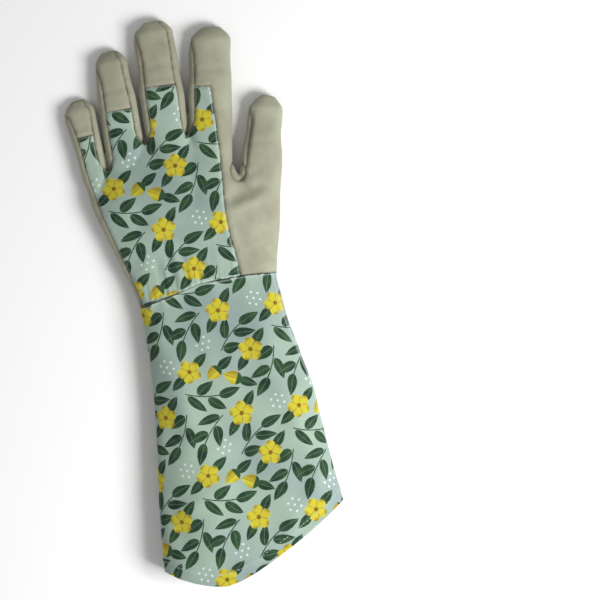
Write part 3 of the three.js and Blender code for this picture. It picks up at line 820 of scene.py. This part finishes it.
def side_seam(name, side, inset, start):
    """A seam up one side of a finger, from a share of its length to past the tip."""
    long = fingers[name]["long"]
    corner = 1 - 9 / long
    near_tip = 1 - np.array([11, 8, 5, 3, 1.5, 0.5, -12]) / long
    seam_line = []
    for at in [*np.linspace(start, 1 - tip_round / long, 8), *near_tip]:
        half = finger_half(name, at)
        if side < 0:
            # On the little finger's side the seam runs out at the corner of the tip
            out = half - np.interp(at, [0.6, 0.82, corner, corner + 0.02], [inset, 0.7 * inset, 0, -3])
        else:
            out = max(half * tip_share(name, at) - inset, min(half - inset, tip_span / 2))
        seam_line.append(on_finger(name, at, side * out))
    return seam_line


def fork_seam(one, two, bottom):
    """The seam round the strip between two fingers, and the crease that parts them above its fork."""
    starts = []
    for name in (one, two):
        finger = fingers[name]
        upright = finger["long"] * math.cos(math.radians(finger["lean"]))
        starts.append((bottom[1] - finger["y"]) / upright)
    crease = [bottom]
    for further in np.arange(0.06, 0.6, 0.03):
        (ax, ay), (bx, by) = (
            on_finger(name, at + further, side * finger_half(name, at + further))
            for name, side, at in ((one, 1, starts[0]), (two, -1, starts[1]))
        )
        if bx - ax > touching:
            break
        crease.append(((ax + bx) / 2, (ay + by) / 2))
    dip = (bottom[0], bottom[1] - 1.2)
    down = side_seam(one, 1, finger_inset, starts[0] + 0.06)[::-1]
    return [*down, dip, *side_seam(two, -1, finger_inset, starts[1] + 0.06)], crease


far = 600
# Above the table, fronts meet backs at this height on the fingers, and so much higher on the hand
front_level = 6.75
hand_rise = 5.4
strip_seams = {}
creases = []
for one, two, bottom in forks:
    strip_seams[one + "_" + two], crease = fork_seam(one, two, bottom)
    creases.append(crease)
dips = [bottom for _, _, bottom in forks]

index_end = fingers["index"]["cotton"]
thumb_side_seam = [(27.6, -13.8), (26.1, 18.4), (24.2, 41.4), (24.9, 62.1), (26.8, 80.5), (28.2, 100)]
thumb_side_seam = curve([*thumb_side_seam, (29.4, 120.8)])
thumb_side_seam.append(on_finger("index", index_end, 0))
little_edge = [(np.interp(y, hand_rows["y"], hand_rows["little"]), y) for y in (0, 12, 26, 40, 54, 68)]
little_side_seam = [(little_edge[0][0] + 3, -24)]
little_side_seam += [(x + 2.6 + 1.8 * y / 115, y) for x, y in little_edge]
little_side_seam += side_seam("little", -1, finger_inset, 0.25)
little_end = (little_side_seam[-1][0], far)
index_cotton = on_finger("index", index_end, -finger_half("index", index_end))
cotton_outline = [*little_side_seam, little_end, (index_cotton[0], far), index_cotton]
cotton_outline += thumb_side_seam[::-1]

web_middle = (on_finger("index", 0, 16.7)[0] + 4, 82.0)
web_turn = np.linspace(0, 2 * math.pi, 32, endpoint=False)
web_outline = [(web_middle[0] + 5.2 * math.cos(t), web_middle[1] + 7.2 * math.sin(t)) for t in web_turn]
thumb_foot = (48.2, 16.1)
thumb_set_seam = [(27.6, 75.9), (18.8, 65.6), (14.3, 54.0), (15.3, 42.6), (22.3, 30.5), (32.9, 23.0)]
thumb_set_seam = curve([web_middle, *thumb_set_seam, thumb_foot])
thumb_outer_seam = [thumb_foot, (52.9, 38.0), *side_seam("thumb", 1, 9.0, 0.4)]
thumb_inner_seam = [web_middle, *side_seam("thumb", -1, finger_inset, 0.54)]
index_outer_seam = [web_middle, *side_seam("index", 1, finger_inset, 0.1)]
front_seam = curve([dips[0], (-43.2, dips[0][1] - 3.5), dips[1], (-6.5, dips[2][1] - 7), dips[2]])
thumb_gap = []
for at in (1.1, 0.8, 0.65):
    clear = 3 * min(1, 5 * at - 2.5)
    thumb_gap.append(on_finger("thumb", at, -finger_half("thumb", min(at, 1)) - clear))
index_side = on_finger("index", 1, -16.0)
front_outline = [*front_seam, (dips[2][0], dips[2][1] + 7), index_side, (index_side[0], far)]
front_outline.append((dips[0][0], far))
outer_corners = [(-far, -60), (-far, far)]
palm_outline = [*index_outer_seam[::-1], *thumb_set_seam[1:], (thumb_foot[0], -60), *outer_corners]


def tip_outline(name):
    start = fingers[name]["cotton"]
    inset = finger_inset if name == "little" else -0.3
    return side_seam(name, -1, inset, start) + side_seam(name, 1, -0.3, start)[::-1]


def panel_values(x, y, z):
    """Distance into each panel from its nearest seam, less than nought outside the panel."""
    level = front_level + hand_rise * np.clip((92 - y) / 14, 0, 1)
    above, below = z - level, level - z
    little_side = within([*little_side_seam, little_end, *outer_corners[::-1]], x, y)
    palm_low = within(palm_outline, x, y)
    fronts = np.minimum(within(front_outline, x, y), below)
    parted = x - np.interp(y, [dips[1][1], 230], [dips[1][0], dips[1][0] + 3])
    inner = within(thumb_inner_seam + thumb_gap, x, y)
    set_in = within(thumb_set_seam + thumb_outer_seam[1:] + thumb_gap, x, y)
    regions = {"thumb_web": within(web_outline, x, y)}
    for (name, seam), fork in zip(strip_seams.items(), dips):
        # Lower down, the strip spreads a little round the bottom of its fork
        spread = np.clip((11 - z) / 3, 0, 1) * np.exp(-(((x - fork[0]) ** 2 + (y - fork[1]) ** 2) / 49))
        regions[name + "_strip"] = within(seam, x, y) + 2.6 * spread
    for name in ("little", "ring", "middle"):
        regions[name + "_tip_back"] = np.minimum(within(tip_outline(name), x, y), above)
    palm = np.maximum(np.minimum(palm_low, below), np.minimum(little_side, above))
    regions.update(
        cotton_back=np.minimum(within(cotton_outline, x, y), above),
        ring_front=np.minimum(fronts, -parted),
        middle_front=np.minimum(fronts, parted),
        thumb_front=np.maximum(np.minimum(set_in, below), inner),
        palm=np.maximum(palm, np.minimum(palm_low, little_side)),
        thumb_back=np.full(len(x), 1e3),
    )
    panels, taken = {}, np.full(len(x), -1e3)
    for name, value in regions.items():
        panels[name] = np.minimum(value, -taken)
        taken = np.maximum(taken, value)
    return panels


skin, out_way, skin_faces = hand_skin()
panels = panel_values(*skin.T)
names = list(panels)
depth_in = np.stack([panels[name] for name in names])
seam = np.clip(depth_in.max(axis=0), 0, None)

# Soft folds of the back: ends, width, and how deep each sinks, or stands where negative
hand_folds = [
    ((-27, 42), (-23, -2), 3.2, 1.0),
    ((-21, 38), (-19, 0), 2.6, -0.6),
    ((-15, 36), (-13, -2), 3.2, 1.0),
    ((-35, 26), (-31, -4), 3.4, 0.9),
    ((-6, 24), (-5, 0), 3.2, 0.7),
    ((6, 108), (2, 60), 6.0, 1.1),
    ((-40, 92), (-44, 40), 8.0, 0.9),
    ((26, 61), (58, 69), 5.4, 1.5),
    ((26, 52), (58, 60), 4.2, -1.1),
    ((38, 74), (58, 80), 4.0, 0.8),
    ((34, 20), (30, 46), 5.0, 0.8),
    ((-60, 60), (-48, 20), 7.0, 1.0),
    ((40, 20), (46, 44), 7.0, -0.7),
    ((46.5, 90), (58.8, 126), 2.0, 1.1),
]
cleft_level = 6.5
# Soft creases of the palm, across it
palm_creases = [
    ((-66, 74), (8, 82), 3.2, 0.9),
    ((-60, 92), (-2, 96), 3.0, 0.6),
    ((-60, 58), (0, 62), 3.4, 0.7),
    ((-40, 40), (14, 30), 4.0, 0.7),
    ((22, 52), (52, 46), 3.0, 0.8),
]
x, y, z = skin.T
topside = np.clip(out_way[:, 2] * 1.6 + 0.2, 0, 1)
underside = np.clip(-out_way[:, 2] * 1.6 + 0.2, 0, 1)
is_cotton = depth_in.argmax(axis=0) == names.index("cotton_back")
lift = topside * folded(hand_folds, x, y) + 0.6 * underside * folded(palm_creases, x, y)
lift += waves(skin, 34, 11) * 0.3 + waves(skin, 15, 12) * 0.1
# Knuckle creases across the fingers, and seams that grow fainter as they reach the tips
at_tip = np.ones(len(x))
for name, finger in fingers.items():
    lean = math.radians(finger["lean"])
    aside, up = x - finger["x"], y - finger["y"]
    along = (math.sin(lean) * aside + math.cos(lean) * up) / finger["long"]
    off = math.cos(lean) * aside - math.sin(lean) * up
    on = np.clip(1.2 - np.abs(off) / (finger["wide"] / 2), 0, 1)
    for at, deep in ((0.42, 0.35), (0.7, 0.4)):
        lift -= deep * on * bell((along - at) * finger["long"], 3.0) * (along > 0)
    from_end = np.where((on > 0) & (along > 0.7), (1 - along) * finger["long"], 99)
    at_tip = np.minimum(at_tip, np.clip(from_end / 14, 0.3, 1))
# Seams turned inside leave a groove between two rounded shoulders, slightly puckered by the stitches
firm = 0.75 * bell(seam, 0.75) + 0.3 * bell(seam, 2.4)
lift += at_tip * (0.16 * bell(seam - 3.0, 1.6) - firm)
lift += waves(skin, 6.5, 13) * 0.12 * bell(seam, 3.0)
wrist_gap = y - np.interp(x, *np.array(wrist_line).T)
lift -= 0.5 * bell(wrist_gap, 1.6)
gathers = waves(skin, 8, 14, stretch=(1.6, 0.3, 0.5)) * 0.3
lift += is_cotton * gathers * np.exp(-np.clip(wrist_gap, 0, None) / 14)
sewn = skin + out_way * lift[:, None]
# What is pressed flat on the table keeps its place in plan
flat_share = np.clip(1 - z / 1.5, 0, 1)[:, None]
sewn[:, :2] += (skin[:, :2] - sewn[:, :2]) * flat_share
# Where two fingers touch, a narrow cleft parts them from above and below
for crease in creases:
    cleft = 0.92 * bell(near_line(crease, x, y)[0], 1.25)
    sewn[:, 2] += (cleft_level - sewn[:, 2]) * cleft
sewn[:, 2] = np.maximum(sewn[:, 2], 0)


def beside(line, gap):
    """A line at an even distance to the right of another."""
    p = np.array(line)
    way = np.gradient(p, axis=0)
    way /= np.linalg.norm(way, axis=1)[:, None]
    return p + np.stack([way[:, 1], -way[:, 0]], axis=1) * gap


# The rows of stitches beside the thumb's seam lie in shallow grooves of the palm
thread_thick = 0.7
set_in = [p for p in thumb_set_seam if 18 < p[1] < 76]
stitch_rows = [beside(set_in, gap) for gap in (1.9, 3.9)]
for row in stitch_rows:
    groove = 0.55 * thread_thick * bell(near_line(row, x, y)[0], 0.8)
    sewn[:, 2] = np.where(out_way[:, 2] < 0, np.maximum(sewn[:, 2], groove), sewn[:, 2])
print_shift = np.array([31.0, 12.0])
# How far each panel's edge stays back from its seam, and from the wrist's
seam_open = 0.06
wrist_open = 0.05


def cut_panel(name, piece_name, thick):
    """Cuts one panel out of the skin along its seams and turns its wall inwards."""
    value = panels[name]
    near = (value > -4) & (wrist_gap > -4)
    used = near[skin_faces].all(axis=1)
    rows = np.stack([value, wrist_gap, seam], axis=1)
    data, faces = trim(np.concatenate([sewn, rows], axis=1), skin_faces[used], value - seam_open)
    data, faces = trim(data, faces, data[:, 4] - wrist_open)
    cut = data[:, :2] + print_shift
    edge = np.minimum(data[:, 5], data[:, 4])
    return sewn_piece(piece_name, data[:, :3], faces, cut, edge, thick)


cotton_hand = cut_panel("cotton_back", "printed_hand_back", cotton_thick)
cotton_hand.data.materials.append(cotton)
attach(cotton_hand, "root")
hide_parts("cotton_back")

# Leather palm, thumb, fingertips and strips
# Soft dressed goatskin in a pale stone colour, cut in twelve panels that are sewn edge to edge and
# turned. The palm wraps the little finger's side, and the thumb is a tube set into the palm.
leather_thick = 1.3
hide_light = (0.362, 0.370, 0.270, 1)
hide_dark = (0.285, 0.280, 0.202, 1)
# The brown painted towards the seams, partly grime and partly painted shade in their grooves
hide_seam = (0.17, 0.125, 0.085, 1)


def soft_leather():
    surface = {"Sheen Weight": 0.15, "Sheen Roughness": 0.5, "Specular IOR Level": 0.3}
    material, w, shader = new_material("soft_leather", surface)
    place = w.node("ShaderNodeTexCoord").outputs["Object"]
    cloud = w.noise(place, 22, 4, 0.55)
    fleck = w.noise(place, 170, 3, 0.6)
    cloudy = w.plus(w.times(cloud, 0.75), w.times(fleck, 0.25))
    colour = w.mix(w.ramp(cloudy, 0.36, 0.64), hide_dark, hide_light)
    # Towards its seams the leather is painted browner: partly grime along the seams, partly painted
    # shade in their grooves
    seam_distance = w.node("ShaderNodeAttribute", attribute_name="seam").outputs["Fac"]
    colour = w.mix(w.times(w.ramp(seam_distance, 5.0, 0.5), 0.16), colour, hide_seam)
    colour = w.mix(w.times(w.ramp(seam_distance, 1.4, 0.1), 0.5), colour, hide_seam)
    w.feed(shader, {"Base Color": colour, "Roughness": w.ramp(cloud, 0.3, 0.7, 0.62, 0.78)})
    pores = w.wired("ShaderNodeTexVoronoi", {"Vector": place, "Scale": 950}, feature="DISTANCE_TO_EDGE")
    grain = w.math("MINIMUM", pores, 0.28)
    w.relief(shader, w.plus(w.times(grain, 1.1), w.noise(place, 380, 3, 0.6)), 0.3, 0.0003)
    return material


leather = soft_leather()
# Each panel, what it rests on, and its size as cut in metres: width, length and area
leather_panels = [
    ("palm", "leather_palm", "floor", 0.16, 0.205, 0.0163),
    ("thumb_back", "leather_thumb_back", "leather_palm", 0.085, 0.20, 0.0107),
    ("thumb_front", "leather_thumb_front", "floor", 0.06, 0.12, 0.0040),
    ("thumb_web", "leather_web", "leather_palm", 0.016, 0.032, 0.00040),
    ("ring_front", "leather_ring_front", "floor", 0.032, 0.105, 0.0020),
    ("middle_front", "leather_middle_front", "floor", 0.036, 0.11, 0.0025),
    ("little_tip_back", "leather_little_tip", "leather_palm", 0.02, 0.03, 0.0005),
    ("ring_tip_back", "leather_ring_tip", "leather_ring_front", 0.022, 0.048, 0.00095),
    ("middle_tip_back", "leather_middle_tip", "leather_middle_front", 0.027, 0.053, 0.0013),
    ("little_ring_strip", "leather_little_ring_strip", "floor", 0.018, 0.19, 0.00225),
    ("ring_middle_strip", "leather_ring_middle_strip", "floor", 0.018, 0.20, 0.0026),
    ("middle_index_strip", "leather_middle_index_strip", "floor", 0.018, 0.195, 0.0027),
]
for node, name, carried_by, wide, long, area in leather_panels:
    panel = cut_panel(node, name, leather_thick)
    panel.data.materials.append(leather)
    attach(panel, "root")
    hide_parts(node)

# Palm stitches
# A double row of strong waxed thread lies beside the seam that sets the thumb into the palm, on the
# palm's own side, from the fork of the thumb round to the heel.
thread_tan = (0.55, 0.53, 0.41, 1)


def on_palm(line):
    """The places on the glove's underside below a line in plan."""
    low = sewn[out_way[:, 2] < -0.3]
    places = []
    for px, py in line:
        near = low[np.argmin((low[:, 0] - px) ** 2 + (low[:, 1] - py) ** 2)]
        places.append((px, py, max(near[2], thread_thick / 2)))
    return places


rows = [on_palm(row) for row in stitch_rows]
palm_thread = thread_material("palm_thread", thread_tan, hide_dark)
palm_stitches = stitches(
    "palm_stitches", rows, False, palm_thread, pitch=3.0, length=2.4, thread=thread_thick, seed=2
)
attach(palm_stitches, "root")

# Table and light
# A plain pale table top under soft studio light, with the stronger side at the thumb's side.
reach = 3.0
floor_mesh = bpy.data.meshes.new("table_top")
table_corners = [(-reach, -reach, 0), (reach, -reach, 0), (reach, reach, 0), (-reach, reach, 0)]
floor_mesh.from_pydata(table_corners, [], [(0, 1, 2, 3)])
floor = new_object("table_top", floor_mesh)
paper, _, _ = new_material("pale_paper", {"Base Color": (0.9, 0.9, 0.9, 1), "Roughness": 0.9})
floor_mesh.materials.append(paper)

world = bpy.data.worlds.new("studio")
world.use_nodes = True
sky = world.node_tree.nodes["Background"]
sky.inputs["Color"].default_value = (1, 1, 1, 1)
sky.inputs["Strength"].default_value = 0.37
bpy.context.scene.world = world
bpy.context.scene.view_settings.view_transform = "Standard"
for name, place, size, power in (
    ("soft_key", (0.8, -0.55, 0.85), 0.6, 20.5),
    ("soft_fill", (-1.2, 0.3, 1.5), 1.2, 2),
):
    light = bpy.data.lights.new(name, "AREA")
    light.size = size
    light.energy = power
    lamp = new_object(name, light)
    lamp.location = place
    lamp.rotation_mode = "QUATERNION"
    lamp.rotation_quaternion = Vector(place).to_track_quat("Z", "Y")
